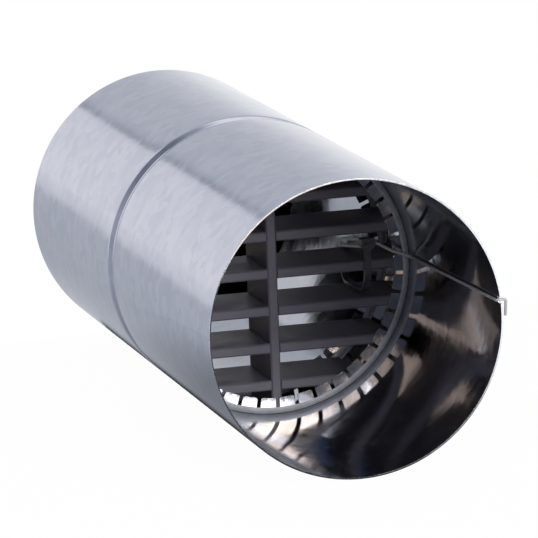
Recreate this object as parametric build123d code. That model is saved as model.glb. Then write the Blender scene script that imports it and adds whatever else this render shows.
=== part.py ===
from build123d import *
import math
import os

# Fire damper for a round duct, in millimetres.
# The casing lies along Y, its open front faces -Y, and the centre of its rear end is the origin.
# A slatted intumescent insert stands in the casing and is drawn out of the front by its pull wire.

# Casing: plain galvanised tube with one rolled groove that stops the insert
CASING_LENGTH = 250.0
CASING_RADIUS = 50.0
CASING_WALL = 0.6
GROOVE_FROM_FRONT = 132.0
GROOVE_WIDTH = 10.0
GROOVE_DEPTH = 1.2
NOTCH_ANGLE = 6.1
NOTCH_WIDTH = 2.2
NOTCH_DEPTH = 2.6

# Retaining band: slotted sheet strip, folded inward along both edges
BAND_SHEET = 0.5
BAND_FOLD_RADIUS = 2.3
FOLD_STEPS = 3
BAND_PLAY = 0.3
BAND_JOINT_GAP = 1.0
TAB_COUNT = 42
TAB_REACH = 5.6
TAB_CORNER = 0.4
SLOT_WIDTH = 1.3
SLOT_LAND = 0.3
SEAT_GAP = 0.3

# Grille: slats cross-lapped with one upright centre plate
SLAT_COUNT = 7
SLAT_MARGIN = 9.1
SLAT_THICKNESS = 3.5
SLAT_DEPTH = 28.0
PLATE_THICKNESS = 3.5
STRIP_BEVEL = 0.5
GRILLE_PLAY = 0.2
LAP_PLAY = 0.1

# Cable tie: a loose loop round the middle slat
TIE_FROM_WALL = 14.4
TIE_WIDTH = 2.5
TIE_THICKNESS = 1.0
TIE_PLAY = 0.1
TIE_HEAD_WIDTH = 5.0
TIE_HEAD_HEIGHT = 4.0
TIE_HEAD_FRONT = 2.4
TIE_HEAD_BACK = 1.0
TIE_HEAD_TAPER = 1.2
TIE_HEAD_EDGE = 0.5
TIE_HEAD_ROOM = 1.35
TIE_STUB = 0.8
TIE_DROP_ROOM = 0.95
TIE_FRONT_BEND = 8.0
TIE_REAR_BEND = 5.0
TIE_TOP_BEND = 1.2

# Pull wire: an eye round the tie, a run along the wall and a hook in the rim's notch
WIRE_DIAMETER = 1.0
WIRE_SIDES = 8
WIRE_PLAY = 0.3
EYE_LENGTH = 9.8
EYE_HALF_GAP = 1.25
EYE_SLOPE = 8.0
EYE_BEND = 1.15
WIRE_LEAVES_TIE = 4.6
WIRE_RIB_ANGLE = 2.9
WIRE_RIB_BEND = 3.0
HOOK_BEND = 1.0
HOOK_RISE = 1.3
HOOK_DROP = 5.8
HOOK_LEAN = 1.0

# Places that follow from the sizes above
FRONT_Y = -CASING_LENGTH
CASING_INNER = CASING_RADIUS - CASING_WALL
GROOVE_Y = FRONT_Y + GROOVE_FROM_FRONT
BEND_ANGLE = 2 * math.atan(2 * GROOVE_DEPTH / GROOVE_WIDTH)
BEND_RADIUS = GROOVE_WIDTH / 4 / math.sin(BEND_ANGLE)
BAND_OUTER = CASING_INNER - BAND_PLAY
BAND_INNER = BAND_OUTER - BAND_SHEET
FOLD_CENTRE = BAND_OUTER - BAND_FOLD_RADIUS
TAB_TIP = BAND_OUTER - TAB_REACH
BAND_DEPTH = SLAT_DEPTH + 2 * (BAND_SHEET + GRILLE_PLAY)
GRILLE_RADIUS = BAND_INNER - GRILLE_PLAY


def rear_of_band():
    """Where the band's rear fold comes to rest against the ridge that the groove makes inside."""
    ridge_radius = BEND_RADIUS + CASING_WALL / 2
    ridge_centre = CASING_INNER - GROOVE_DEPTH + ridge_radius
    reach = ridge_radius + BAND_FOLD_RADIUS + SEAT_GAP
    back = math.sqrt(reach**2 - (ridge_centre - FOLD_CENTRE) ** 2)
    return GROOVE_Y - back + BAND_FOLD_RADIUS


BAND_REAR = rear_of_band()
BAND_FRONT = BAND_REAR - BAND_DEPTH
BAND_MIDDLE = (BAND_FRONT + BAND_REAR) / 2
GRILLE_FRONT = BAND_MIDDLE - SLAT_DEPTH / 2
GRILLE_REAR = BAND_MIDDLE + SLAT_DEPTH / 2
SLATS_EACH_SIDE = SLAT_COUNT // 2
SLAT_PITCH = (GRILLE_RADIUS - SLAT_MARGIN) / SLATS_EACH_SIDE
SLAT_HEIGHTS = [i * SLAT_PITCH for i in range(-SLATS_EACH_SIDE, SLATS_EACH_SIDE + 1)]


def on_circle(radius, degrees, y):
    """A point at an angle up from +X on a circle round the casing's axis."""
    angle = math.radians(degrees)
    return (radius * math.cos(angle), y, radius * math.sin(angle))


def wall_face(surface, shoulder):
    """One face of the casing's wall, front to rear: two lands and the groove's flanks and bottom arc.

    surface is the face's radius, and shoulder the bend that each flank spans at the groove's edge.
    """
    start = GROOVE_Y - GROOVE_WIDTH / 2
    end = GROOVE_Y + GROOVE_WIDTH / 2
    run = shoulder * math.sin(BEND_ANGLE)
    flank_end = surface - shoulder * (1 - math.cos(BEND_ANGLE))
    into = (flank_end, start + run)
    out = (flank_end, end - run)
    return [
        Polyline((surface, FRONT_Y), (surface, start), into),
        ThreePointArc(into, (surface - GROOVE_DEPTH, GROOVE_Y), out),
        Polyline(out, (surface, end), (surface, 0)),
    ]


def casing():
    """The tube with its groove, and the notch in the front rim that takes the wire."""
    outside = wall_face(CASING_RADIUS, BEND_RADIUS + CASING_WALL / 2)
    inside = wall_face(CASING_INNER, BEND_RADIUS - CASING_WALL / 2)
    front = Line((CASING_INNER, FRONT_Y), (CASING_RADIUS, FRONT_Y))
    rear = Line((CASING_INNER, 0), (CASING_RADIUS, 0))
    tube = revolve(make_face([*outside, *inside, front, rear]), Axis.Y)
    cutter = Box(4 * CASING_WALL, 2 * NOTCH_DEPTH, NOTCH_WIDTH)
    place = Pos(*on_circle(CASING_RADIUS - CASING_WALL / 2, NOTCH_ANGLE, FRONT_Y))
    return tube - place * Rot(0, -NOTCH_ANGLE, 0) * cutter


def folded(radius):
    """The outside of a fold in straight steps, as insets from the two sides of its corner."""
    turns = [math.radians(90 * i / FOLD_STEPS) for i in range(FOLD_STEPS + 1)]
    return [(radius * (1 - math.cos(t)), radius * (1 - math.sin(t))) for t in turns]


def bevelled(radius):
    """A bevel that touches an arc of this radius, as insets from the two sides of its corner."""
    leg = (2 - math.sqrt(2)) * radius
    return [(0, leg), (leg, 0)]


def channel(radius, mouth, depth, corner):
    """A section in the radius and Y plane, from mouth out to radius, its outer corners cut alike."""
    half = depth / 2
    rear = [(radius - x, half - y) for x, y in corner]
    front = [(x, -y) for x, y in reversed(rear)]
    outline = Polyline((mouth, -half), *front, *rear, (mouth, half), close=True)
    return Pos(0, BAND_MIDDLE) * make_face(outline)


def tab_slot():
    """The cutter for one slot, its mouth flared so that the tabs' tips have trimmed corners."""
    half = SLOT_WIDTH / 2
    root = FOLD_CENTRE - SLOT_LAND
    outline = Polyline(
        (root, half),
        (TAB_TIP + TAB_CORNER, half),
        (TAB_TIP - TAB_CORNER, half + 2 * TAB_CORNER),
        (TAB_TIP - TAB_CORNER, -half - 2 * TAB_CORNER),
        (TAB_TIP + TAB_CORNER, -half),
        (root, -half),
        close=True,
    )
    face = Plane.XZ.offset(-BAND_REAR - BAND_SHEET) * make_face(outline)
    return extrude(face, BAND_DEPTH + 2 * BAND_SHEET)


def retaining_band():
    """The folded strip: a ring with tabs at both edges and a butt joint at the top."""
    outer = channel(BAND_OUTER, TAB_TIP, BAND_DEPTH, folded(BAND_FOLD_RADIUS))
    inside_corner = bevelled(BAND_FOLD_RADIUS - BAND_SHEET)
    hollow = channel(BAND_INNER, TAB_TIP, BAND_DEPTH - 2 * BAND_SHEET, inside_corner)
    ring = revolve(outer - hollow, Axis.Y)
    top = Rot(0, -90, 0)
    slot = tab_slot()
    slots = [top * Rot(0, 360 / TAB_COUNT * i, 0) * slot for i in range(TAB_COUNT)]
    gap = Box(2 * TAB_REACH, 2 * BAND_DEPTH, BAND_JOINT_GAP)
    joint = top * Pos(BAND_OUTER, BAND_MIDDLE, 0) * gap
    return ring - slots - joint


def grille_space():
    """The room inside the band that the grille's strips fill, less their play."""
    corner = bevelled(BAND_FOLD_RADIUS - BAND_SHEET - GRILLE_PLAY)
    return revolve(channel(GRILLE_RADIUS, 0, SLAT_DEPTH + GRILLE_PLAY, corner), Axis.Y)


def strip_section(thickness):
    """The section of a grille strip, its depth first."""
    section = Rectangle(SLAT_DEPTH, thickness)
    return chamfer(section.vertices(), STRIP_BEVEL)


def slat(height, space):
    """A level strip cut to the band's round, notched at the front for the centre plate."""
    section = Plane.YZ * strip_section(SLAT_THICKNESS)
    blank = Pos(0, BAND_MIDDLE, height) * extrude(section, BAND_OUTER, both=True)
    notch = Box(PLATE_THICKNESS + 2 * LAP_PLAY, SLAT_DEPTH, 2 * SLAT_THICKNESS)
    return (blank & space) - Pos(0, BAND_MIDDLE - SLAT_DEPTH / 2 + LAP_PLAY, height) * notch


def centre_plate(space):
    """The upright strip, notched at the rear for every slat."""
    section = Plane.YX * strip_section(PLATE_THICKNESS)
    blank = Pos(0, BAND_MIDDLE, 0) * extrude(section, BAND_OUTER, both=True)
    notch = Box(2 * PLATE_THICKNESS, SLAT_DEPTH, SLAT_THICKNESS + 2 * LAP_PLAY)
    back = BAND_MIDDLE + SLAT_DEPTH / 2 - LAP_PLAY
    return (blank & space) - [Pos(0, back, height) * notch for height in SLAT_HEIGHTS]


SLAT_ROOM = SLAT_PITCH - SLAT_THICKNESS / 2
TIE_X = GRILLE_RADIUS - TIE_FROM_WALL
TIE_FRONT = GRILLE_FRONT - TIE_PLAY - TIE_THICKNESS / 2
TIE_REAR = GRILLE_REAR + TIE_PLAY + TIE_THICKNESS / 2
TIE_TOP = SLAT_THICKNESS / 2 + TIE_PLAY + TIE_THICKNESS / 2
TIE_BOTTOM = TIE_DROP_ROOM + TIE_THICKNESS / 2 - SLAT_ROOM
TIE_HEAD_RISE = SLAT_ROOM - TIE_HEAD_ROOM - TIE_HEAD_HEIGHT / 2


def tie_loop():
    """The strap's closed loop round the middle slat, seen from +X."""
    path = FilletPolyline(
        (TIE_FRONT, TIE_HEAD_RISE),
        (TIE_FRONT, TIE_BOTTOM),
        (TIE_REAR, TIE_BOTTOM),
        (TIE_REAR, TIE_TOP),
        radius=[TIE_TOP_BEND, TIE_FRONT_BEND, TIE_REAR_BEND, TIE_TOP_BEND],
        close=True,
    )
    face = make_face(path)
    band = offset(face, TIE_THICKNESS / 2) - offset(face, -TIE_THICKNESS / 2)
    return Pos(TIE_X, 0, 0) * extrude(Plane.YZ * band, TIE_WIDTH / 2, both=True)


def tie_head():
    """The tie's locking head, tapered down to the strap, with the cut end of the strap in front."""
    top = TIE_HEAD_HEIGHT / 2
    wide = TIE_HEAD_WIDTH / 2
    narrow = TIE_WIDTH / 2
    outline = Polyline(
        (-wide, top),
        (wide, top),
        (wide, TIE_HEAD_TAPER - top),
        (narrow, -top),
        (-narrow, -top),
        (-wide, TIE_HEAD_TAPER - top),
        close=True,
    )
    face = fillet(make_face(outline).vertices(), TIE_HEAD_EDGE)
    block = extrude(Plane.XZ.offset(-TIE_HEAD_BACK) * face, TIE_HEAD_FRONT + TIE_HEAD_BACK)
    stub = Pos(0, -TIE_HEAD_FRONT, 0) * Box(TIE_WIDTH, 2 * TIE_STUB, TIE_THICKNESS)
    return Pos(TIE_X, TIE_FRONT, TIE_HEAD_RISE) * (block + stub)


def cable_tie():
    """The tie as moulded: strap and head in one piece."""
    return tie_loop() + tie_head()


def wire_route():
    """The corners of the wire's centre line and the bend at each of them."""
    half = WIRE_DIAMETER / 2
    slope = math.tan(math.radians(EYE_SLOPE))
    eye_y = TIE_FRONT + TIE_HEAD_BACK + TIE_PLAY + half
    fall = TIE_TOP - TIE_HEAD_RISE
    strap_rise = TIE_HEAD_RISE + fall * (eye_y - TIE_FRONT) / (TIE_REAR - TIE_FRONT)
    wall = CASING_INNER - WIRE_PLAY - half
    rib_y = BAND_FRONT - WIRE_PLAY - half
    hook_y = FRONT_Y + NOTCH_DEPTH / 2
    outside = CASING_RADIUS + HOOK_RISE + half

    def eye(along, side):
        return (TIE_X + along, eye_y, strap_rise - along * slope + side * EYE_HALF_GAP)

    tab_edge = on_circle(TAB_TIP, 2 * WIRE_RIB_ANGLE, rib_y)
    end = on_circle(outside, NOTCH_ANGLE, hook_y + HOOK_LEAN)
    points = [
        eye(TIE_WIDTH, -1),
        eye(-EYE_LENGTH, -1),
        eye(-EYE_LENGTH, 1),
        eye(TIE_WIDTH / 2 + WIRE_PLAY, 1),
        eye(WIRE_LEAVES_TIE, 0),
        tab_edge,
        on_circle(wall, WIRE_RIB_ANGLE, rib_y),
        on_circle(wall, NOTCH_ANGLE, hook_y),
        on_circle(outside, NOTCH_ANGLE, hook_y),
        (end[0], end[1], end[2] - HOOK_DROP),
    ]
    gentle = [WIRE_RIB_BEND] * 4
    bends = [EYE_BEND, EYE_BEND, *gentle, HOOK_BEND, HOOK_BEND]
    return points, bends


def pull_wire():
    """The steel wire swept along its route."""
    points, bends = wire_route()
    path = FilletPolyline(*points, radius=bends)
    outline = RegularPolygon(WIRE_DIAMETER / 2, WIRE_SIDES)
    start = Plane(origin=path @ 0, z_dir=path % 0)
    print("wire length", round(path.length, 1))
    return sweep(start * outline, path=path)


def main():
    """Builds every piece and writes one STEP file for each."""
    os.makedirs("parts", exist_ok=True)
    space = grille_space()
    pieces = {
        "casing": casing(),
        "retaining_band": retaining_band(),
        "centre_plate": centre_plate(space),
        "cable_tie": cable_tie(),
        "pull_wire": pull_wire(),
    }
    for number, height in enumerate(SLAT_HEIGHTS, start=1):
        pieces[f"slat_{number}"] = slat(height, space)
    for name, piece in pieces.items():
        export_step(piece, f"parts/{name}.step")


main()
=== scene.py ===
import logging
import math
import random
from collections.abc import Callable, Iterable, Sequence
from dataclasses import dataclass, field
from enum import Enum, IntEnum

import bmesh
import bpy
from mathutils import Matrix, Vector


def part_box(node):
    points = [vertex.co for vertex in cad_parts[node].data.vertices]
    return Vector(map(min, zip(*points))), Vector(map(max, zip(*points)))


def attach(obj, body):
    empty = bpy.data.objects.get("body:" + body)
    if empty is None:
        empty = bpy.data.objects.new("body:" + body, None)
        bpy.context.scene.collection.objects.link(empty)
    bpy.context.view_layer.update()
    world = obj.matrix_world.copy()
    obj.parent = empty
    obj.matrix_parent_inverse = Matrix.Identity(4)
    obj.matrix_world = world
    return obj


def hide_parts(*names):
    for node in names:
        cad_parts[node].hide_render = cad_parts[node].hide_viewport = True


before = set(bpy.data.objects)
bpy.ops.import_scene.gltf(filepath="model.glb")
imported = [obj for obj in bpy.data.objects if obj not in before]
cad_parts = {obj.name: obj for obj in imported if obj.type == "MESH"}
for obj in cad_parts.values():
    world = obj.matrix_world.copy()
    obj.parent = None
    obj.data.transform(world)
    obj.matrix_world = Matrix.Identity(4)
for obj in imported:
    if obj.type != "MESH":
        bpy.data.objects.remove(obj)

LOG = logging.getLogger("fire_damper")
MM = 0.001
FULL_TURN = 360.0

Tree = bpy.types.NodeTree
Node = bpy.types.Node
Socket = bpy.types.NodeSocket
Piece = bpy.types.Object
Pair = tuple[float, float]
Triple = tuple[float, float, float]
Colour = Triple
SectionRow = tuple[float, float, float, float]


class Slot(Enum):
    """The record's material slots of the pieces that are remade as sheet."""

    GALVANISED = "galvanised_sheet"
    BAND = "band_sheet"


class Body(Enum):
    """The bodies that pieces ride on."""

    CASING = "casing"
    INSERT = "insert"


class SheetFace(IntEnum):
    """The material numbers of a sheet: its face, its cut edges, and a second finish for folds (painted
    light) or inside (painted shade).
    """

    PLAIN = 0
    CUT = 1
    SECOND = 2


class Ray(Enum):
    """The kinds of rays that a stage piece can be hidden from."""

    CAMERA = "visible_camera"
    DIFFUSE = "visible_diffuse"
    GLOSSY = "visible_glossy"
    TRANSMISSION = "visible_transmission"
    SHADOW = "visible_shadow"


# Node helpers

UNIT: Pair = (0.0, 1.0)
EVEN: Triple = (1.0, 1.0, 1.0)
MIX_FACTOR = 0
MIX_FIRST = 6
MIX_SECOND = 7
MIX_RESULT = 2


def put(tree: Tree, kind: str, inputs: dict[str | int, object] | None = None, **settings: object) -> Node:
    """Adds one node to a tree.

    Args:
        tree: The tree of a material, group or world.
        kind: The node's Blender type.
        inputs: Values or source sockets, by input name or number.
        settings: The node's own properties.

    Returns:
        The new node.
    """
    node = tree.nodes.new(kind)
    for name, setting in settings.items():
        setattr(node, name, setting)
    for key, value in (inputs or {}).items():
        if isinstance(value, Socket):
            tree.links.new(value, node.inputs[key])
        else:
            node.inputs[key].default_value = value
    return node


def sums(tree: Tree, operation: str, *values: object) -> Socket:
    """Adds a Math node.

    Args:
        tree: The tree that holds it.
        operation: The Math operation.
        values: Its numbers or source sockets, in order.

    Returns:
        The result's socket.
    """
    node = put(tree, "ShaderNodeMath", dict(enumerate(values)), operation=operation)
    return node.outputs[0]


def weigh(tree: Tree, first: Socket, second: Socket, share: float = 0.5, other: float = 0.5) -> Socket:
    """Adds two values by their shares.

    Args:
        tree: The tree that holds the nodes.
        first: The first value.
        second: The second value.
        share: The first value's share.
        other: The second value's share.

    Returns:
        The result's socket.
    """
    return sums(tree, "ADD", sums(tree, "MULTIPLY", first, share), sums(tree, "MULTIPLY", second, other))


def span(tree: Tree, value: Socket, source: Pair, target: Pair, smooth: bool = False) -> Socket:
    """Maps a value from one range to another, held at the ends.

    Args:
        tree: The tree that holds the node.
        value: The socket to map.
        source: The range it has.
        target: The range it gets.
        smooth: Whether the map eases in and out.

    Returns:
        The mapped socket.
    """
    inputs = {"Value": value, "From Min": source[0], "From Max": source[1]}
    inputs |= {"To Min": target[0], "To Max": target[1]}
    kind = "SMOOTHSTEP" if smooth else "LINEAR"
    return put(tree, "ShaderNodeMapRange", inputs, interpolation_type=kind).outputs["Result"]


def blend_colour(tree: Tree, factor: object, first: object, second: object) -> Socket:
    """Mixes two colours.

    Args:
        tree: The tree that holds the node.
        factor: The share of the second colour.
        first: A colour or its socket.
        second: A colour or its socket.

    Returns:
        The mixed colour's socket.
    """
    inputs = {MIX_FACTOR: factor, MIX_FIRST: first, MIX_SECOND: second}
    return put(tree, "ShaderNodeMix", inputs, data_type="RGBA").outputs[MIX_RESULT]


def blend_shaders(tree: Tree, factor: object, first: Node, second: Node) -> Node:
    """Mixes two shaders.

    Args:
        tree: The tree that holds the node.
        factor: The share of the second shader.
        first: The first shader's node.
        second: The second shader's node.

    Returns:
        The mixing node.
    """
    return put(tree, "ShaderNodeMixShader", {0: factor, 1: first.outputs[0], 2: second.outputs[0]})


def object_place(tree: Tree, stretch: Triple = EVEN) -> Socket:
    """Object coordinates, stretched along their axes.

    Args:
        tree: The tree that holds the nodes.
        stretch: The scale along X, Y and Z.

    Returns:
        The vector's socket.
    """
    coordinates = put(tree, "ShaderNodeTexCoord").outputs["Object"]
    return put(tree, "ShaderNodeMapping", {"Vector": coordinates, "Scale": stretch}).outputs["Vector"]


def noise(tree: Tree, place: Socket, detail: float, scale: object = 1.0, roughness: float = 0.5) -> Node:
    """Adds a noise texture.

    Args:
        tree: The tree that holds it.
        place: Its coordinates.
        detail: How many finer layers it has.
        scale: How many waves a metre holds, as a number or a socket.
        roughness: How strong the finer layers are.

    Returns:
        The new node.
    """
    inputs = {"Vector": place, "Scale": scale, "Detail": detail, "Roughness": roughness}
    return put(tree, "ShaderNodeTexNoise", inputs)


# Shared surface effects

RAG_DETAIL = 3.0
RAG_SCALE = 420.0
RAG_MIDDLE: Triple = (0.5, 0.5, 0.5)
CELL_SHARE = 0.45
CLOUD_SHARE = 0.55
CLOUD_DETAIL = 4.0
CLOUD_SCALE = 95.0
LINE_DETAIL = 3.0
LINE_STRETCH: Triple = (900.0, 14.0, 900.0)
WAVE_DETAIL = 1.0
WAVE_STRETCH: Triple = (30.0, 11.0, 30.0)
FILM_DETAIL = 5.0
FILM_ROUGHNESS = 0.6
FILM_RANGE: Pair = (0.35, 0.7)
SPECK_DETAIL = 2.0
SPECK_SCALE = 2600.0


@dataclass
class Effect:
    """A shader node group that is built once and placed in several materials."""

    title: str
    inputs: dict[str, float]
    outputs: tuple[str, ...]
    draw: Callable[[Tree, Node], dict[str, Socket]]
    tree: Tree | None = field(default=None, init=False)

    def build(self) -> Tree:
        """Makes the group on its first use.

        Returns:
            The group's tree.
        """
        if self.tree is None:
            tree = bpy.data.node_groups.new(self.title, "ShaderNodeTree")
            for name, value in self.inputs.items():
                socket = tree.interface.new_socket(name, in_out="INPUT", socket_type="NodeSocketFloat")
                socket.default_value = value
            for name in self.outputs:
                tree.interface.new_socket(name, in_out="OUTPUT", socket_type="NodeSocketFloat")
            results = self.draw(tree, put(tree, "NodeGroupInput"))
            put(tree, "NodeGroupOutput", results)
            self.tree = tree
        return self.tree

    def place(self, tree: Tree, **values: float) -> dict[str, Socket]:
        """Places the group in a material.

        Args:
            tree: The material's tree.
            values: Inputs that differ from the group's own, with underscores for spaces.

        Returns:
            The group's output sockets by name.
        """
        node = put(tree, "ShaderNodeGroup", node_tree=self.build())
        for name, value in values.items():
            node.inputs[name.replace("_", " ")].default_value = value
        return {socket.name: socket for socket in node.outputs}


def draw_spangle(tree: Tree, given: Node) -> dict[str, Socket]:
    """Zinc spangle: ragged crystal fields, each with its own tone.

    Args:
        tree: The group's tree.
        given: The group's input node.

    Returns:
        Tone and Relief.
    """
    plain = object_place(tree)
    rag = noise(tree, plain, RAG_DETAIL, RAG_SCALE)
    inputs = {0: rag.outputs["Color"], 1: RAG_MIDDLE}
    centred = put(tree, "ShaderNodeVectorMath", inputs, operation="SUBTRACT")
    inputs = {0: centred.outputs[0], "Scale": given.outputs["Raggedness"]}
    drift = put(tree, "ShaderNodeVectorMath", inputs, operation="SCALE")
    ragged = put(tree, "ShaderNodeVectorMath", {0: plain, 1: drift.outputs[0]}, operation="ADD")
    density = sums(tree, "DIVIDE", 1.0, given.outputs["Cell Size"])
    cells = put(tree, "ShaderNodeTexVoronoi", {"Vector": ragged.outputs[0], "Scale": density})
    tone = put(tree, "ShaderNodeSeparateColor", {"Color": cells.outputs["Color"]})
    cloud = noise(tree, plain, CLOUD_DETAIL, CLOUD_SCALE)
    mixed = weigh(tree, tone.outputs[0], cloud.outputs[0], CELL_SHARE, CLOUD_SHARE)
    return {"Tone": mixed, "Relief": cells.outputs["Distance"]}


def draw_rolling(tree: Tree, given: Node) -> dict[str, Socket]:
    """Rolling lines along Y, and the slow waves of thin sheet.

    Args:
        tree: The group's tree.
        given: The group's input node.

    Returns:
        Lines and Waves.
    """
    lines = noise(tree, object_place(tree, LINE_STRETCH), LINE_DETAIL)
    waves = noise(tree, object_place(tree, WAVE_STRETCH), WAVE_DETAIL)
    return {
        "Lines": sums(tree, "MULTIPLY", lines.outputs[0], given.outputs["Line Depth"]),
        "Waves": sums(tree, "MULTIPLY", waves.outputs[0], given.outputs["Wave Depth"]),
    }


def draw_film(tree: Tree, given: Node) -> dict[str, Socket]:
    """The uneven film that handling and storage leave.

    Args:
        tree: The group's tree.
        given: The group's input node.

    Returns:
        Film, from 0 to 1, and Speck.
    """
    plain = object_place(tree)
    film = noise(tree, plain, FILM_DETAIL, given.outputs["Spread"], FILM_ROUGHNESS)
    specks = noise(tree, plain, SPECK_DETAIL, SPECK_SCALE)
    return {
        "Film": span(tree, film.outputs[0], FILM_RANGE, UNIT, smooth=True),
        "Speck": specks.outputs[0],
    }


SPANGLE = Effect(
    "Zinc Spangle", {"Cell Size": 0.004, "Raggedness": 0.002}, ("Tone", "Relief"), draw_spangle
)
ROLLING = Effect(
    "Sheet Rolling", {"Line Depth": 1.0, "Wave Depth": 1.0}, ("Lines", "Waves"), draw_rolling
)
FILM = Effect("Handling Film", {"Spread": 40.0}, ("Film", "Speck"), draw_film)


# Finishes


def opaque(colour: Colour) -> tuple[float, float, float, float]:
    """A colour with full alpha."""
    return (*colour, 1.0)


def bare_material(name: str) -> tuple[bpy.types.Material, Tree]:
    """Starts a material without nodes.

    Args:
        name: The material's name.

    Returns:
        The material and its empty tree.
    """
    material = bpy.data.materials.new(name)
    material.use_nodes = True
    material.node_tree.nodes.clear()
    return material, material.node_tree


def set_relief(tree: Tree, shader: Node, height: Socket, depth: float) -> None:
    """Feeds a height to the shader's normal.

    Args:
        tree: The material's tree.
        shader: Its Principled node.
        height: The height's socket.
        depth: What a height of one stands for, in metres.
    """
    bump = put(tree, "ShaderNodeBump", {"Height": height, "Strength": 1.0, "Distance": depth})
    tree.links.new(bump.outputs["Normal"], shader.inputs["Normal"])


@dataclass(frozen=True)
class Finish:
    """What every finish has: a name, two shades, and its roughness where glossiest and where dullest."""

    name: str
    dark: Colour
    light: Colour
    gloss: Pair

    def make(self) -> bpy.types.Material:
        """Builds the material.

        Returns:
            The new material.
        """
        material, tree = bare_material(self.name)
        shader = put(tree, "ShaderNodeBsdfPrincipled")
        put(tree, "ShaderNodeOutputMaterial", {"Surface": shader.outputs["BSDF"]})
        self.paint(tree, shader)
        return material

    def paint(self, tree: Tree, shader: Node) -> None:
        """Feeds the material's shader, which each kind of finish does in its own way."""
        raise NotImplementedError

    def shade(self, tree: Tree, shader: Node, tone: Socket, dull: Socket) -> None:
        """Feeds the shader's colour and roughness.

        Args:
            tree: The material's tree.
            shader: Its Principled node.
            tone: Where the surface is light, from 0 to 1.
            dull: Where the surface is dull, from 0 to 1.
        """
        colour = blend_colour(tree, tone, opaque(self.dark), opaque(self.light))
        tree.links.new(colour, shader.inputs["Base Color"])
        tree.links.new(span(tree, dull, UNIT, self.gloss), shader.inputs["Roughness"])


@dataclass(frozen=True)
class ZincSheet(Finish):
    """Zinc-coated steel with spangle, rolling lines and a thin film."""

    cell: float = 0.0045
    relief: float = 0.000012
    metal: float = 1.0
    line_depth: float = 0.12
    wave_depth: float = 6.0
    tone_range: Pair = (0.3, 0.7)

    def paint(self, tree: Tree, shader: Node) -> None:
        """Feeds the material's shader.

        Args:
            tree: The material's tree.
            shader: Its Principled node.
        """
        spangle = SPANGLE.place(tree, Cell_Size=self.cell)
        rolling = ROLLING.place(tree, Line_Depth=self.line_depth, Wave_Depth=self.wave_depth)
        film = FILM.place(tree)
        tone = span(tree, spangle["Tone"], self.tone_range, UNIT)
        self.shade(tree, shader, tone, weigh(tree, tone, film["Film"]))
        shader.inputs["Metallic"].default_value = self.metal
        lined = sums(tree, "ADD", spangle["Relief"], rolling["Lines"])
        set_relief(tree, shader, sums(tree, "ADD", lined, rolling["Waves"]), self.relief)


@dataclass(frozen=True)
class PressedStrip(Finish):
    """Dark pressed strip: satin, faintly lined along its length, with fine specks."""

    spread: float = 60.0
    grain_stretch: Triple = (25.0, 1500.0, 1500.0)
    grain_detail: float = 2.0
    relief: float = 0.00004

    def paint(self, tree: Tree, shader: Node) -> None:
        """Feeds the material's shader.

        Args:
            tree: The material's tree.
            shader: Its Principled node.
        """
        film = FILM.place(tree, Spread=self.spread)
        grain = noise(tree, object_place(tree, self.grain_stretch), self.grain_detail)
        self.shade(tree, shader, weigh(tree, film["Film"], film["Speck"]), film["Film"])
        set_relief(tree, shader, sums(tree, "ADD", film["Speck"], grain.outputs[0]), self.relief)


@dataclass(frozen=True)
class Moulding(Finish):
    """Moulded nylon: even colour with a fine skin texture."""

    spread: float = 150.0
    relief: float = 0.00002

    def paint(self, tree: Tree, shader: Node) -> None:
        """Feeds the material's shader.

        Args:
            tree: The material's tree.
            shader: Its Principled node.
        """
        film = FILM.place(tree, Spread=self.spread)
        self.shade(tree, shader, film["Film"], film["Film"])
        set_relief(tree, shader, film["Speck"], self.relief)


GALVANISED = ZincSheet("galvanised sheet", (0.484, 0.497, 0.602), (0.558, 0.571, 0.67), (0.07, 0.15))
# The inside is a darker, bluer copy of the outside's zinc: painted shade for the tube's inside.
PAINTED_SHADE_INSIDE = ZincSheet("galvanised inside", (0.37, 0.38, 0.44), (0.43, 0.44, 0.495), (0.06, 0.13))
CUT_EDGE = ZincSheet("sheared edge", (0.64, 0.65, 0.68), (0.74, 0.75, 0.77), (0.1, 0.18), cell=0.001)
BAND = ZincSheet("band strip", (0.54, 0.54, 0.56), (0.68, 0.68, 0.695), (0.06, 0.11), cell=0.003)
# The fold's zinc is duller, as a bend's is, and painted lighter and bluer than the strip's: painted light
# on the rib.
FOLD_DULL_AND_PAINTED_LIGHT = ZincSheet("band fold", (0.74, 0.76, 0.82), (0.85, 0.87, 0.92), (0.5, 0.62), cell=0.002, metal=0.3)
WIRE = ZincSheet("drawn wire", (0.76, 0.76, 0.77), (0.88, 0.88, 0.89), (0.4, 0.55), cell=0.0015, metal=0.1)
STRIP = PressedStrip("intumescent strip", (0.195, 0.186, 0.228), (0.255, 0.245, 0.295), (0.45, 0.6))
NYLON = Moulding("tie nylon", (0.085, 0.082, 0.10), (0.13, 0.125, 0.15), (0.3, 0.45))


# Sheet pieces

SHARP_ANGLE = math.radians(35.0)
BROKEN_ANGLE = math.radians(50.0)
BROKEN_SEGMENTS = 2


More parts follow.
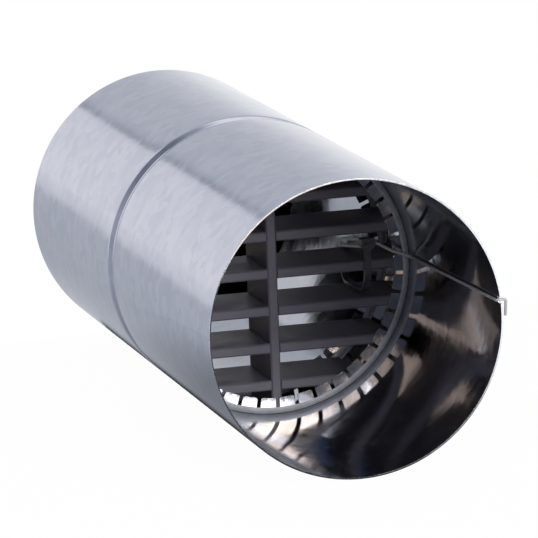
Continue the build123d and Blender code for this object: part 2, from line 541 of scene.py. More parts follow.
@dataclass
class RoundSheet:
    """A sheet that runs round the casing's axis, as a grid of cells between an outer and an inner face.

    Cells that are switched off leave slots, notches and joints, and every free edge gets its own wall.
    """

    name: str
    angles: Sequence[float]
    rows: int
    outer: Callable[[int, int], Vector]
    inner: Callable[[int, int], Vector]
    solid: Callable[[int, int], bool]
    folds: Sequence[int] = ()
    inside: SheetFace = SheetFace.PLAIN

    def build(self) -> Piece:
        """Builds the mesh and numbers its faces for their materials.

        Returns:
            The new object, linked to the scene.
        """
        columns = len(self.angles)
        points = [self.outer(c, r) for c in range(columns) for r in range(self.rows)]
        shift = len(points)
        points += [self.inner(c, r) for c in range(columns) for r in range(self.rows)]

        def number(column: int, row: int) -> int:
            """The number of an outer point."""
            return (column % columns) * self.rows + row

        def filled(column: int, row: int) -> bool:
            """Whether a cell lies on the grid and is sheet."""
            return 0 <= row < self.rows - 1 and self.solid(column % columns, row)

        faces: list[tuple[int, ...]] = []
        finishes: list[int] = []
        for c in range(columns):
            for r in range(self.rows - 1):
                if not filled(c, r):
                    continue
                a, b, d, e = number(c, r), number(c + 1, r), number(c + 1, r + 1), number(c, r + 1)
                faces.append((a, b, d, e))
                faces.append((e + shift, d + shift, b + shift, a + shift))
                folded = r in self.folds
                finishes += [SheetFace.SECOND] * 2 if folded else [SheetFace.PLAIN, self.inside]
                sides = (((c, r - 1), b, a), ((c + 1, r), d, b), ((c, r + 1), e, d), ((c - 1, r), a, e))
                for (column, row), start, end in sides:
                    if not filled(column, row):
                        faces.append((start, end, end + shift, start + shift))
                        finishes.append(SheetFace.CUT)
        mesh = bpy.data.meshes.new(self.name)
        mesh.from_pydata(points, [], faces)
        mesh.polygons.foreach_set("use_smooth", [True] * len(faces))
        mesh.polygons.foreach_set("material_index", finishes)
        mesh.validate()
        mesh.set_sharp_from_angle(angle=SHARP_ANGLE)
        piece = bpy.data.objects.new(self.name, mesh)
        bpy.context.scene.collection.objects.link(piece)
        clean_unused(mesh)
        return piece


def clean_unused(mesh: bpy.types.Mesh) -> None:
    """Removes points that no face uses, and turns the faces' normals outward.

    Args:
        mesh: The mesh to clean.
    """
    work = bmesh.new()
    work.from_mesh(mesh)
    bmesh.ops.delete(work, geom=[v for v in work.verts if not v.link_faces], context="VERTS")
    bmesh.ops.recalc_face_normals(work, faces=work.faces)
    work.to_mesh(mesh)
    work.free()


def round_edges(piece: Piece, width: float) -> None:
    """Breaks the sharp edges of a piece so that they catch the light.

    Args:
        piece: The piece.
        width: The width of the broken edge, in metres.
    """
    bevel = piece.modifiers.new("broken edges", "BEVEL")
    bevel.width = width
    bevel.segments = BROKEN_SEGMENTS
    bevel.limit_method = "ANGLE"
    bevel.angle_limit = BROKEN_ANGLE
    bevel.harden_normals = True


def on_round(radius: float, angle: float, y: float) -> Vector:
    """A point round the casing's axis, in metres from sizes in millimetres.

    Args:
        radius: The distance from the axis.
        angle: The angle up from +X, in radians.
        y: The place along the axis.

    Returns:
        The point.
    """
    return Vector((radius * math.cos(angle), y, radius * math.sin(angle))) * MM


@dataclass
class Casing:
    """The galvanised tube with its rolled groove and the notch in its front rim.

    Sizes are in millimetres. A ripple has its share, its lobes round the tube, its pitch and its phase.
    """

    length: float = 250.0
    radius: float = 50.0
    wall: float = 0.6
    groove_from_front: float = 132.0
    groove_width: float = 10.0
    groove_depth: float = 1.2
    notch_angle: float = 6.1
    notch_width: float = 2.2
    notch_depth: float = 2.6
    edge: float = 0.12
    segments: int = 240
    bend_steps: int = 8
    rim_row: float = 1.0
    front_rows: int = 14
    rear_rows: int = 12
    hair: float = 0.01
    wave_depth: float = 0.05
    ripples: tuple[tuple[float, int, float, float], ...] = (
        (1.0, 3, 41.0, 0.0),
        (0.8, 5, -29.0, 1.0),
        (0.5, 9, 23.0, 2.0),
        (0.3, 14, -17.0, 0.0),
    )

    def groove_line(self) -> list[Triple]:
        """The wall's middle line through the groove.

        Returns:
            Rows of place along Y, drop and slope, front to rear.
        """
        turn = 2.0 * math.atan(2.0 * self.groove_depth / self.groove_width)
        bend = self.groove_width / 4.0 / math.sin(turn)
        middle = self.groove_from_front - self.length
        steps = self.bend_steps
        line = []
        for i in range(steps + 1):
            t = turn * i / steps
            line.append((middle - self.groove_width / 2 + bend * math.sin(t), bend * (1 - math.cos(t)), t))
        for i in range(1, steps + 1):
            t = turn * (1 - i / steps)
            line.append((middle - bend * math.sin(t), self.groove_depth - bend * (1 - math.cos(t)), t))
        mirrored = [(2 * middle - y, drop, -t) for y, drop, t in reversed(line[:-1])]
        return line + mirrored

    def rows(self) -> list[Triple]:
        """The whole of the wall's middle line.

        Returns:
            Rows of place along Y, drop and slope, front to rear.
        """
        rim = -self.length
        land = rim + self.notch_depth
        groove = self.groove_line()
        start, end = groove[0][0], groove[-1][0]
        front = [rim, rim + self.rim_row, land]
        front += [land + (start - land) * i / self.front_rows for i in range(1, self.front_rows)]
        rear = [end - end * i / self.rear_rows for i in range(1, self.rear_rows + 1)]
        return [(y, 0.0, 0.0) for y in front] + groove + [(y, 0.0, 0.0) for y in rear]

    def notch_half(self) -> float:
        """Half of the notch's angle, in degrees."""
        return math.degrees(self.notch_width / 2 / self.radius)

    def columns(self) -> list[float]:
        """The angles of the grid's columns, with two at the sides of the notch.

        Returns:
            The angles in degrees, in order.
        """
        sides = [self.notch_angle - self.notch_half(), self.notch_angle + self.notch_half()]
        step = FULL_TURN / self.segments
        plain = [i * step for i in range(self.segments)]
        kept = [a for a in plain if min(abs(a - s) for s in sides) > step / 3]
        return sorted(kept + sides)

    def wave(self, angle: float, y: float) -> float:
        """How far the thin wall stands in from its true round, in millimetres.

        Args:
            angle: The angle up from +X, in radians.
            y: The place along the axis.

        Returns:
            The distance, never negative.
        """
        whole = sum(share for share, _, _, _ in self.ripples)
        lift = 0.0
        for share, lobes, pitch, phase in self.ripples:
            lift += share * math.sin(lobes * angle + y / pitch + phase)
        return self.wave_depth * (whole + lift) / (2 * whole)

    def build(self) -> Piece:
        """Builds the tube and sets it in the place of its CAD node.

        Returns:
            The tube.
        """
        rows = self.rows()
        degrees = self.columns()
        angles = [math.radians(a) for a in degrees]
        half = self.notch_half()
        notch_end = -self.length + self.notch_depth - self.hair
        cut_rows = [i for i, row in enumerate(rows[:-1]) if row[0] < notch_end]

        def face(column: int, row: int, offset: float) -> Vector:
            """A point of the wall, at an offset out from its middle line.

            Args:
                column: The grid's column.
                row: The grid's row.
                offset: The distance from the middle line.

            Returns:
                The point.
            """
            y, drop, slope = rows[row]
            inward = self.wave(angles[column], y)
            radius = self.radius - self.wall / 2 - drop - inward + offset * math.cos(slope)
            return on_round(radius, angles[column], y + offset * math.sin(slope))

        def solid(column: int, row: int) -> bool:
            """Whether a cell is wall and not notch.

            Args:
                column: The grid's column.
                row: The grid's row.

            Returns:
                True for wall.
            """
            after = degrees[column + 1] if column + 1 < len(degrees) else FULL_TURN
            middle = (degrees[column] + after) / 2
            return not (row in cut_rows and abs(middle - self.notch_angle) < half)

        sheet = RoundSheet(
            "casing_shell",
            angles,
            len(rows),
            lambda c, r: face(c, r, self.wall / 2),
            lambda c, r: face(c, r, -self.wall / 2),
            solid,
            inside=SheetFace.SECOND,
        )
        piece = sheet.build()
        round_edges(piece, self.edge * MM)
        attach(piece, Body.CASING.value)
        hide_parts("casing")
        return piece

    def dress(self, piece: Piece) -> None:
        """Gives the sheet its zinc, a darker and bluer copy inside as painted shade, and the rims their
        bare edge.

        Args:
            piece: The tube.
        """
        for finish in (GALVANISED, CUT_EDGE, PAINTED_SHADE_INSIDE):
            piece.data.materials.append(finish.make())


@dataclass
class RetainingBand:
    """The slotted strip, folded inward at both edges, with tabs that were bent one by one.

    Sizes are in millimetres. A lean is a slope along a tab's reach, and a twist adds to it across the tab.
    """

    outer: float = 49.1
    sheet: float = 0.5
    fold: float = 1.9
    front: float = field(default_factory=lambda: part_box("retaining_band")[0].y / MM)
    rear: float = field(default_factory=lambda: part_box("retaining_band")[1].y / MM)
    tabs: int = 42
    tip: float = 43.5
    tab_middle: Pair = (44.9, 45.8)
    root: float = 46.9
    flare: float = 49.3
    flare_turn: float = 50.0
    rear_turn: float = 90.0
    corner: float = 0.4
    edge: float = 0.08
    slot_width: float = 1.3
    slot_inset: float = 1.0
    lean: Pair = (-0.012, 0.008)
    twist: Pair = (-0.004, 0.004)
    bend_past_root: float = 0.3
    tab_breadth: float = 5.0
    seed: int = 7
    tab_columns: int = 5
    fold_rows: int = 8
    wall_rows: int = 4

    def tab_radii(self) -> tuple[float, ...]:
        """The radii of a tab's rows of points, from its tip to its root."""
        return (self.tip, self.tip + self.corner, *self.tab_middle, self.root)

    def profile(self, end: float, turn: float) -> list[SectionRow]:
        """The strip's section at one edge, from the tab's tip to the end of the fold.

        Args:
            end: The fold's outermost radius.
            turn: The angle through which the fold bends, in degrees.

        Returns:
            Rows of radius, depth, and the radius and depth parts of the normal.
        """
        line = [(r, 0.0, 0.0, -1.0) for r in self.tab_radii()]
        centre = self.outer - self.fold
        bend = (end - centre) / math.sin(math.radians(turn))
        for i in range(self.fold_rows + 1):
            t = math.radians(turn * i / self.fold_rows)
            line.append((centre + bend * math.sin(t), bend * (1 - math.cos(t)), math.sin(t), -math.cos(t)))
        return line

    def section(self) -> list[SectionRow]:
        """The strip's whole section, from the front tab's tip to the rear tab's tip.

        Returns:
            Rows of radius, depth, and the radius and depth parts of the normal.
        """
        depth = self.rear - self.front
        front = self.profile(self.flare, self.flare_turn)
        rear = reversed(self.profile(self.outer, self.rear_turn))
        flat = depth - 2 * self.fold
        steps = range(1, self.wall_rows)
        wall = [(self.outer, self.fold + flat * i / self.wall_rows, 1.0, 0.0) for i in steps]
        return front + wall + [(r, depth - y, nr, -ny) for r, y, nr, ny in rear]

    def columns(self) -> list[float]:
        """The angles of the grid's columns, one group for each tab, from the top on.

        Returns:
            The angles in radians.
        """
        pitch = 2 * math.pi / self.tabs
        half = self.slot_width / 2 / (self.root - self.slot_inset)
        width = pitch - 2 * half
        angles = []
        for tab in range(self.tabs):
            start = math.pi / 2 + tab * pitch + half
            angles += [start + width * i / self.tab_columns for i in range(self.tab_columns + 1)]
        return angles

    def build(self) -> Piece:
        """Builds the strip and sets it in the place of its CAD node.

        Returns:
            The strip.
        """
        section = self.section()
        count = len(section)
        angles = self.columns()
        per_tab = self.tab_columns + 1
        tab_rows = len(self.tab_radii()) - 1
        draw = random.Random(self.seed)
        leans = [[draw.uniform(*self.lean) for _ in range(2)] for _ in range(self.tabs)]
        twists = [[draw.uniform(*self.twist) for _ in range(2)] for _ in range(self.tabs)]

        def face(column: int, row: int, offset: float) -> Vector:
            """A point of the strip, at an offset out from its outer face.

            Args:
                column: The grid's column.
                row: The grid's row.
                offset: The distance from the outer face.

            Returns:
                The point.
            """
            radius, y, nr, ny = section[row]
            tab, place = divmod(column, per_tab)
            angle = angles[column]
            end = 0 if row < count / 2 else 1
            sign = 1 if end == 0 else -1
            reach = max(0.0, self.root + self.bend_past_root - radius)
            across = (place / self.tab_columns - 0.5) * self.tab_breadth
            y += sign * reach * (leans[tab][end] + twists[tab][end] * across)
            at_tip = row in (0, count - 1)
            if at_tip and place in (0, self.tab_columns):
                angle += (1 if place == 0 else -1) * self.corner / self.tip
            return on_round(radius + nr * offset, angle, self.front + y + ny * offset)

        def solid(column: int, row: int) -> bool:
            """Whether a cell is sheet, and not a slot or the butt joint.

            Args:
                column: The grid's column.
                row: The grid's row.

            Returns:
                True for sheet.
            """
            tab, place = divmod(column, per_tab)
            in_slot = place == self.tab_columns
            if in_slot and tab == self.tabs - 1:
                return False
            near_edge = row < tab_rows or row >= count - 1 - tab_rows
            return not (in_slot and near_edge)

        front_fold = range(tab_rows, tab_rows + self.fold_rows + 1)
        rear_fold = range(count - 2 - tab_rows - self.fold_rows, count - 1 - tab_rows)
        grid = RoundSheet(
            "band_strip",
            angles,
            count,
            lambda c, r: face(c, r, 0.0),
            lambda c, r: face(c, r, -self.sheet),
            solid,
            (*front_fold, *rear_fold),
        )
        piece = grid.build()
        round_edges(piece, self.edge * MM)
        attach(piece, Body.INSERT.value)
        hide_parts("retaining_band")
        return piece

    def dress(self, piece: Piece) -> None:
        """Gives the strip its zinc, and its folds a duller zinc, as a bend's is, painted lighter and bluer
        as painted light on the rib.

        Args:
            piece: The strip.
        """
        zinc = BAND.make()
        for material in (zinc, zinc, FOLD_DULL_AND_PAINTED_LIGHT.make()):
            piece.data.materials.append(material)


# Pieces that keep their CAD shapes


def dress_node(name: str, material: bpy.types.Material) -> None:
    """Gives a CAD node one material all over.

    Args:
        name: The node.
        material: Its material.
    """
    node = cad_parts[name]
    if not node.material_slots:
        node.data.materials.append(material)
    for slot in node.material_slots:
        slot.material = material


@dataclass
class Grille:
    """The slats and the centre plate."""

    slats: tuple[str, ...] = tuple(f"slat_{n}" for n in range(1, 8))
    plate: str = "centre_plate"

    def dress(self) -> None:
        """Gives every strip the same pressed finish."""
        material = STRIP.make()
        for name in (*self.slats, self.plate):
            dress_node(name, material)


@dataclass
class PullGear:
    """The cable tie and the pull wire."""

    tie: str = "cable_tie"
    wire: str = "pull_wire"

    def dress(self) -> None:
        """Gives the tie its nylon and the wire its steel."""
        dress_node(self.tie, NYLON.make())
        dress_node(self.wire, WIRE.make())


# Studio

PLAIN_WHITE: Colour = (1.0, 1.0, 1.0)
# Except NEAR_BLACK, of the rear card, these are glow colours of cards that only metal mirrors: painted
# reflections, from black to brighter than white.
BLACK: Colour = (0.0, 0.0, 0.0)
NEAR_BLACK: Colour = (0.004, 0.004, 0.005)
DARK: Colour = (0.075, 0.08, 0.10)
TAN: Colour = (0.42, 0.335, 0.28)
DIM: Colour = (0.62, 0.5, 0.4)
TAN_LEAD: Colour = (1.7, 1.35, 1.05)
GREY: Colour = (1.8, 1.87, 2.05)
CREAM: Colour = (3.0, 2.5, 2.05)
WHITE: Colour = (4.8, 4.8, 4.9)
REAR_Y = 0.004
OPENING_Y = -0.2512
PALE_Y = -0.330


@dataclass(frozen=True)
class Card:
    """A flat card across the Y axis: its place in metres, and its corners as X and Z in millimetres."""

    name: str
    y: float
    colour: Colour

    def edge(self) -> list[Pair]:
        """The card's corners, which each kind of card gives."""
        raise NotImplementedError


@dataclass(frozen=True)
class RoundCard(Card):
    """A round card."""

    radius: float
    steps: int = 72

    def edge(self) -> list[Pair]:
        """The card's corners, in an order that turns its face to -Y.

        Returns:
            Pairs of X and Z.
        """
        turns = [2 * math.pi * i / self.steps for i in range(self.steps)]
        return [(self.radius * math.cos(t), self.radius * math.sin(t)) for t in turns]


@dataclass(frozen=True)
class NotchedCard(Card):
    """A round card without the quarter right of one X and below one Z."""

    notch: Pair
    radius: float
    steps: int = 60

    def edge(self) -> list[Pair]:
        """The card's corners.

        Returns:
            Pairs of X and Z.
        """
        x, z = self.notch
        start = math.asin(z / self.radius)
        end = 2 * math.pi - math.acos(x / self.radius)
        turns = [start + (end - start) * i / self.steps for i in range(self.steps + 1)]
        return [*((self.radius * math.cos(t), self.radius * math.sin(t)) for t in turns), (x, z)]


@dataclass(frozen=True)
class StripCard(Card):
    """The part of a disc left of one X and between two Z, with those three as its limits."""

    limits: Triple
    radius: float = 49.6
    steps: int = 24

    def edge(self) -> list[Pair]:
        """The card's corners.

        Returns:
            Pairs of X and Z.
        """
        right, low, high = self.limits
        bend = []
        for i in range(self.steps + 1):
            z = low + (high - low) * i / self.steps
            bend.append((-math.sqrt(self.radius**2 - z * z), z))
        return [*bend, (right, high), (right, low)]


@dataclass(frozen=True)
class CutCard(Card):
    """A card that is cut to its own corners."""

    corners: tuple[Pair, ...]

    def edge(self) -> list[Pair]:
        """The card's corners."""
        return list(self.corners)


@dataclass(frozen=True)
class Lamp:
    """A soft oblong lamp: place and size in metres, power in watts, and whether metal mirrors it."""

    name: str
    place: Triple
    size: Pair
    power: float
    colour: Colour
    mirrored: bool = True


def hide(piece: Piece, *rays: Ray) -> None:
    """Hides a piece from some kinds of rays.

    Args:
        piece: The piece.
        rays: The kinds of rays.
    """
    for ray in rays:
        setattr(piece, ray.value, False)


@dataclass
class Studio:
    """The pale floor, the dark rear card, the glowing cards that paint reflections in the metal, the blind
    round the casing, the lamps and the surroundings.

    The stops of a ring are angles up from +X, in degrees, with their levels.
    """

    floor_x: Pair = (-0.6, 0.6)
    floor_y: Pair = (-0.75, 0.012)
    floor_z: float = -0.0501
    floor_colour: Colour = (0.72, 0.72, 0.74)
    floor_white: float = 1.03
    shadow_share: float = 0.05
    # To metal the floor glows: a painted reflection, brighter towards the rear, to the sides and at the
    # front, with a painted contact shadow along the casing's axis.
    mirror_y: Pair = (-0.14, -0.02)
    mirror_levels: Pair = (0.25, 0.52)
    mirror_colour: Colour = (0.92, 0.97, 1.05)
    front_y: Pair = (-0.42, -0.30)
    front_level: float = 1.5
    contact_x: Pair = (0.026, 0.034)
    contact_levels: Pair = (0.1, 1.0)
    spread_x: Pair = (0.06, 0.35)
    spread_level: float = 0.72
    lamps: tuple[Lamp, ...] = (
        Lamp("key", (0.228, -1.588, 0.363), (0.92, 0.32), 8.2, (1.0, 0.985, 0.975)),
        Lamp("fill", (0.0, 1.4, 0.0), (0.35, 0.35), 6.0, (1.0, 0.97, 0.93), mirrored=False),
    )
    lamp_aim: Triple = (0.0, -0.15, 0.0)
    ambient: float = 0.34
    # Metal sees this dark blue after a few bounces: painted shade inside the casing.
    deep_painted_shade: Colour = (0.045, 0.065, 0.12)
    deep_bounces: float = 2.5
    cooling: Triple = (1.12, 1.04, 0.92)
    far_ring: tuple[Pair, ...] = (
        (-180.0, 0.90), (-170.0, 0.84), (-165.0, 0.62), (-141.0, 0.57), (-109.0, 0.52),
        (-58.0, 0.56), (-41.0, 0.80), (-36.0, 1.00), (11.0, 0.91), (27.0, 0.78),
        (43.0, 0.70), (59.0, 0.65), (75.0, 0.65), (100.0, 0.66), (105.0, 0.62),
        (108.5, 0.50), (111.0, 0.50), (114.5, 0.88), (123.0, 0.91), (170.0, 0.96),
    )
    near_ring: tuple[Pair, ...] = (
        (-180.0, 0.50), (-150.0, 0.45), (-90.0, 0.45), (-40.0, 0.70), (0.0, 0.90), (45.0, 1.00),
        (62.0, 1.20), (84.0, 1.20), (96.0, 0.55), (112.0, 0.26), (140.0, 0.28), (160.0, 0.50),
    )
    near_y: Pair = (0.82, 0.66)
    side_ring: tuple[Pair, ...] = (
        (-180.0, 0.74), (-150.0, 0.58), (-90.0, 0.48), (-30.0, 0.58), (0.0, 0.74),
        (30.0, 0.90), (55.0, 1.00), (90.0, 0.84), (125.0, 1.00), (150.0, 0.90),
    )
    side_y: Pair = (0.42, 0.12)
    rear_card: Card = RoundCard("stage_rear", 0.0002, NEAR_BLACK, 49.8)
    blind: Card = CutCard("stage_blind", -0.2518, BLACK, (
        (8.0, 47.5), (25.0, 41.5), (36.0, 32.0), (44.0, 20.0), (48.0, 6.0), (48.0, -5.0), (8.0, -5.0),
    ))
    # Each card glows in its colour and only glossy rays see it: painted reflections, dark and pale, in the
    # metal round the insert.
    cards: tuple[Card, ...] = (
        StripCard("stage_flag", 0.06, BLACK, (6.5, -49.0, 49.0)),
        StripCard("stage_rear_middle", REAR_Y, BLACK, (-2.0, -11.0, 8.0)),
        StripCard("stage_rear_upper", REAR_Y, TAN, (-2.0, 8.0, 49.0)),
        StripCard("stage_rear_lower", REAR_Y, TAN, (-2.0, -49.0, -11.0)),
        CutCard("stage_arm", 0.1, BLACK, (
            (-6.0, -18.0), (2.0, -11.0), (9.0, -9.5), (22.0, -9.0),
            (22.0, -36.0), (14.0, -34.0), (5.0, -29.0), (-6.0, -25.0),
        )),
        CutCard("stage_tan_lead", PALE_Y, TAN_LEAD, (
            (-21.0, 9.0), (-18.0, 16.0), (-8.0, 26.0), (4.0, 31.0),
            (4.0, 24.5), (-3.0, 22.0), (-10.0, 17.5), (-15.5, 10.0),
        )),
        CutCard("stage_cream", PALE_Y, CREAM, (
            (4.0, 31.0), (16.0, 32.5), (28.0, 30.5), (38.0, 26.0), (47.0, 18.5), (55.0, 9.0),
            (61.0, -1.0), (67.0, -14.0), (66.0, -26.0), (60.0, -34.0), (49.0, -25.0), (48.5, -12.0),
            (46.0, -1.0), (43.0, 8.0), (38.0, 15.5), (30.0, 21.5), (20.0, 24.5), (4.0, 24.5),
        )),
        CutCard("stage_white", PALE_Y, WHITE, (
            (35.5, 3.5), (41.5, 4.5), (45.5, -2.0), (48.5, -12.0), (49.0, -25.0), (47.5, -37.0),
            (40.0, -37.5), (37.0, -31.5), (39.0, -24.0), (40.0, -16.0), (39.0, -6.0),
        )),
        CutCard("stage_grey", PALE_Y, GREY, (
            (28.0, 12.5), (33.0, 16.5), (42.0, 8.0), (41.5, 4.5), (35.5, 3.5),
        )),
        CutCard("stage_far", -0.332, DARK, (
            (-34.0, -49.5), (-34.0, 7.0), (-18.0, 7.0), (-12.0, 14.0), (0.0, 24.0),
            (20.0, 28.0), (40.0, 22.0), (60.0, 0.0), (66.0, -20.0), (66.0, -49.5),
        )),
        CutCard("stage_shade", OPENING_Y, DARK, (
            (36.5, 6.0), (48.0, 6.0), (48.0, -9.0), (46.5, -13.5), (37.5, -13.5), (36.5, -10.0),
        )),
        CutCard("stage_dim", OPENING_Y, DIM, (
            (37.5, -13.5), (46.5, -13.5), (44.5, -20.5), (38.5, -20.5),
        )),
        NotchedCard("stage_front", -0.2515, DARK, (5.5, 6.0), 48.0),
    )

    def plane(self, name: str, corners: Iterable[Triple]) -> Piece:
        """A flat stage piece.

        Args:
            name: The piece's name.
            corners: Its corners, in order.

        Returns:
            The new object.
        """
        mesh = bpy.data.meshes.new(name)
        points = list(corners)
        mesh.from_pydata(points, [], [tuple(range(len(points)))])
        piece = bpy.data.objects.new(name, mesh)
        bpy.context.scene.collection.objects.link(piece)
        return piece

    def cut(self, card: Card) -> Piece:
        """A card's bare piece."""
        return self.plane(card.name, ((x * MM, card.y, z * MM) for x, z in card.edge()))

    def lay_floor(self) -> None:
        """A pale floor: white with a faint shadow to the camera, and to metal a glow in graded greys, a
        painted reflection with a painted contact shadow along the casing's axis.
        """
        x0, x1 = self.floor_x
        y0, y1 = self.floor_y
        z = self.floor_z
        floor = self.plane("stage_floor", ((x0, y0, z), (x1, y0, z), (x1, y1, z), (x0, y1, z)))
        material, tree = bare_material("stage floor")
        path = put(tree, "ShaderNodeLightPath")
        matte = put(tree, "ShaderNodeBsdfDiffuse", {"Color": opaque(self.floor_colour)})
        inputs = {"Color": opaque(PLAIN_WHITE), "Strength": self.floor_white}
        white = put(tree, "ShaderNodeEmission", inputs)
        seen = blend_shaders(tree, self.shadow_share, white, matte)
        spot = put(tree, "ShaderNodeNewGeometry").outputs["Position"]
        parts = put(tree, "ShaderNodeSeparateXYZ", {"Vector": spot})
        level = span(tree, parts.outputs["Y"], self.mirror_y, self.mirror_levels)
        aside = sums(tree, "ABSOLUTE", parts.outputs["X"])
        spread = span(tree, aside, self.spread_x, (0.0, self.spread_level))
        # Painted contact shadow: the glow is darker along the casing's axis.
        painted_contact_shadow = span(tree, aside, self.contact_x, self.contact_levels, smooth=True)
        front = span(tree, parts.outputs["Y"], self.front_y, (self.front_level, 0.0))
        pale = sums(tree, "MAXIMUM", sums(tree, "MAXIMUM", level, spread), front)
        glow = sums(tree, "MULTIPLY", pale, painted_contact_shadow)
        mirrored = put(tree, "ShaderNodeEmission", {"Color": opaque(self.mirror_colour), "Strength": glow})
        glossy = blend_shaders(tree, path.outputs["Is Glossy Ray"], matte, mirrored)
        shown = blend_shaders(tree, path.outputs["Is Camera Ray"], glossy, seen)
        put(tree, "ShaderNodeOutputMaterial", {"Surface": shown.outputs[0]})
        floor.data.materials.append(material)
        hide(floor, Ray.SHADOW)

    def hang_rear_card(self) -> None:
        """A dark card across the rear opening, which the camera sees only from the casing's side."""
        piece = self.cut(self.rear_card)
        material, tree = bare_material("stage rear")
        matte = put(tree, "ShaderNodeBsdfDiffuse", {"Color": opaque(self.rear_card.colour)})
        clear = put(tree, "ShaderNodeBsdfTransparent")
        away = put(tree, "ShaderNodeNewGeometry").outputs["Backfacing"]
        side = blend_shaders(tree, away, matte, clear)
        put(tree, "ShaderNodeOutputMaterial", {"Surface": side.outputs[0]})
        piece.data.materials.append(material)
        hide(piece, Ray.GLOSSY, Ray.DIFFUSE, Ray.SHADOW)

    def set_cards(self) -> None:
        """The dark, tan and pale cards near the open ends, which glow and which only metal mirrors: painted
        reflections.
        """
        for card in self.cards:
            piece = self.cut(card)
            material, tree = bare_material(card.name)
            glow = put(tree, "ShaderNodeEmission", {"Color": opaque(card.colour), "Strength": 1.0})
            put(tree, "ShaderNodeOutputMaterial", {"Surface": glow.outputs[0]})
            piece.data.materials.append(material)
            hide(piece, Ray.CAMERA, Ray.DIFFUSE, Ray.SHADOW)

    def set_blind(self) -> None:
        """A blind in front of the opening's right half, which only holds off light."""
        hide(self.cut(self.blind), Ray.CAMERA, Ray.GLOSSY, Ray.DIFFUSE, Ray.TRANSMISSION)

    def set_lamps(self) -> None:
        """The key lamp in front, above the casing, and the fill behind its rear end."""
        for lamp in self.lamps:
            light = bpy.data.lights.new(lamp.name, "AREA")
            light.shape = "RECTANGLE"
            light.size, light.size_y = lamp.size
            light.energy = lamp.power
            light.color = lamp.colour
            piece = bpy.data.objects.new(lamp.name, light)
            piece.location = Vector(lamp.place)
            aim = Vector(self.lamp_aim) - piece.location
            piece.rotation_euler = aim.to_track_quat("-Z", "Y").to_euler()
            piece.visible_camera = False
            piece.visible_glossy = lamp.mirrored
            bpy.context.scene.collection.objects.link(piece)

    def painted_reflection_tones(self, tree: Tree, place: Socket, ring: Sequence[Pair]) -> Socket:
        """The painted reflection tones round the Y axis, cooler where they are darker.

        Args:
            tree: The world's tree.
            place: The place round the axis, from 0 to 1.
            ring: Stops of angle in degrees and level.

        Returns:
            The tone's socket.
        """
        ramp = put(tree, "ShaderNodeValToRGB", {"Fac": place})
        stops = ramp.color_ramp.elements
        while len(stops) < len(ring):
            stops.new(1.0)
        for stop, (degrees, level) in zip(stops, ring):
            stop.position = (degrees + FULL_TURN / 2) / FULL_TURN
            stop.color = opaque(tuple(level**power for power in self.cooling))
        return ramp.outputs["Color"]

    def set_surroundings(self) -> None:
        """White to the camera; to metal, painted reflections in rings of brighter and greyer tones round
        the Y axis, replaced by a dark painted shade after a few bounces; an even grey to other rays.
        """
        world = bpy.data.worlds.new("studio")
        bpy.context.scene.world = world
        world.use_nodes = True
        tree = world.node_tree
        tree.nodes.clear()
        path = put(tree, "ShaderNodeLightPath")
        way = put(tree, "ShaderNodeTexCoord").outputs["Generated"]
        parts = put(tree, "ShaderNodeSeparateXYZ", {"Vector": way})
        angle = sums(tree, "ARCTAN2", parts.outputs["Z"], parts.outputs["X"])
        place = span(tree, angle, (-math.pi, math.pi), UNIT)
        rings = (self.far_ring, self.near_ring, self.side_ring)
        far, near, side = (self.painted_reflection_tones(tree, place, ring) for ring in rings)
        turned = span(tree, parts.outputs["Y"], self.near_y, UNIT, smooth=True)
        aside = span(tree, parts.outputs["Y"], self.side_y, UNIT, smooth=True)
        round_about = blend_colour(tree, aside, blend_colour(tree, turned, far, near), side)
        # After a few bounces metal sees the dark blue instead of the rings: painted shade inside the
        # casing.
        deep_painted_shade = sums(tree, "GREATER_THAN", path.outputs["Ray Depth"], self.deep_bounces)
        reflected = blend_colour(tree, deep_painted_shade, round_about, opaque(self.deep_painted_shade))
        mirrored = sums(tree, "MAXIMUM", path.outputs["Is Glossy Ray"], path.outputs["Is Transmission Ray"])
        grey = opaque((self.ambient, self.ambient, self.ambient))
        lit = blend_colour(tree, mirrored, grey, reflected)
        seen = blend_colour(tree, path.outputs["Is Camera Ray"], lit, opaque(PLAIN_WHITE))
        back = put(tree, "ShaderNodeBackground", {"Color": seen, "Strength": 1.0})
        put(tree, "ShaderNodeOutputWorld", {"Surface": back.outputs[0]})


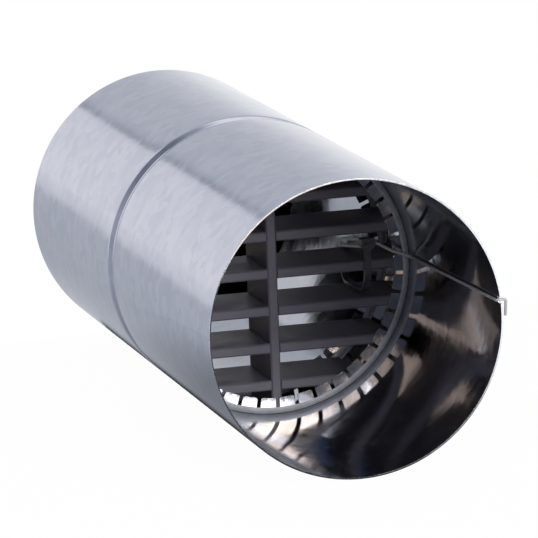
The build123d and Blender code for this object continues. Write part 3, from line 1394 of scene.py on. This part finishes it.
@dataclass
class Viewpoint:
    """The camera at the photograph's viewing angle, with its place in millimetres."""

    location: Triple = (-447.66, -1773.60, 337.13)
    azimuth: float = -15.363
    elevation: float = 11.252
    roll: float = -2.128
    lens: float = 333.68
    sensor: float = 36.0
    clip: Pair = (0.1, 100.0)

    def sight(self) -> Vector:
        """The direction in which the camera looks."""
        a, e = math.radians(self.azimuth), math.radians(self.elevation)
        return Vector((-math.sin(a) * math.cos(e), math.cos(a) * math.cos(e), -math.sin(e)))

    def build(self) -> Piece:
        """Sets up the camera.

        Returns:
            The camera.
        """
        data = bpy.data.cameras.new("camera")
        data.lens = self.lens
        data.sensor_width = self.sensor
        data.sensor_fit = "HORIZONTAL"
        data.clip_start, data.clip_end = self.clip
        sight = self.sight()
        right = sight.cross(Vector((0.0, 0.0, 1.0))).normalized()
        up = right.cross(sight)
        r = math.radians(self.roll)
        tilted = right * math.cos(r) + up * math.sin(r)
        upright = up * math.cos(r) - right * math.sin(r)
        turn = Matrix((tilted, upright, -sight)).transposed().to_4x4()
        camera = bpy.data.objects.new("camera", data)
        camera.matrix_world = Matrix.Translation(Vector(self.location) * MM) @ turn
        bpy.context.scene.collection.objects.link(camera)
        bpy.context.scene.camera = camera
        return camera


def main() -> None:
    """Builds and dresses every piece, then the studio and the camera."""
    logging.basicConfig(level=logging.INFO, format="%(message)s")
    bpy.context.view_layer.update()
    bpy.context.scene.view_settings.view_transform = "Standard"
    Viewpoint().build()
    casing = Casing()
    shell = casing.build()
    casing.dress(shell)
    LOG.info("casing: %d faces", len(shell.data.polygons))
    band = RetainingBand()
    strip = band.build()
    band.dress(strip)
    LOG.info("retaining band: %d faces", len(strip.data.polygons))
    grille = Grille()
    grille.dress()
    gear = PullGear()
    gear.dress()
    for name in (*grille.slats, grille.plate, gear.tie, gear.wire):
        LOG.info("%s: dressed", name)
    studio = Studio()
    studio.lay_floor()
    studio.hang_rear_card()
    studio.set_cards()
    studio.set_blind()
    studio.set_lamps()
    studio.set_surroundings()
    LOG.info("studio: %d cards", len(studio.cards))


if __name__ == "__main__":
    main()
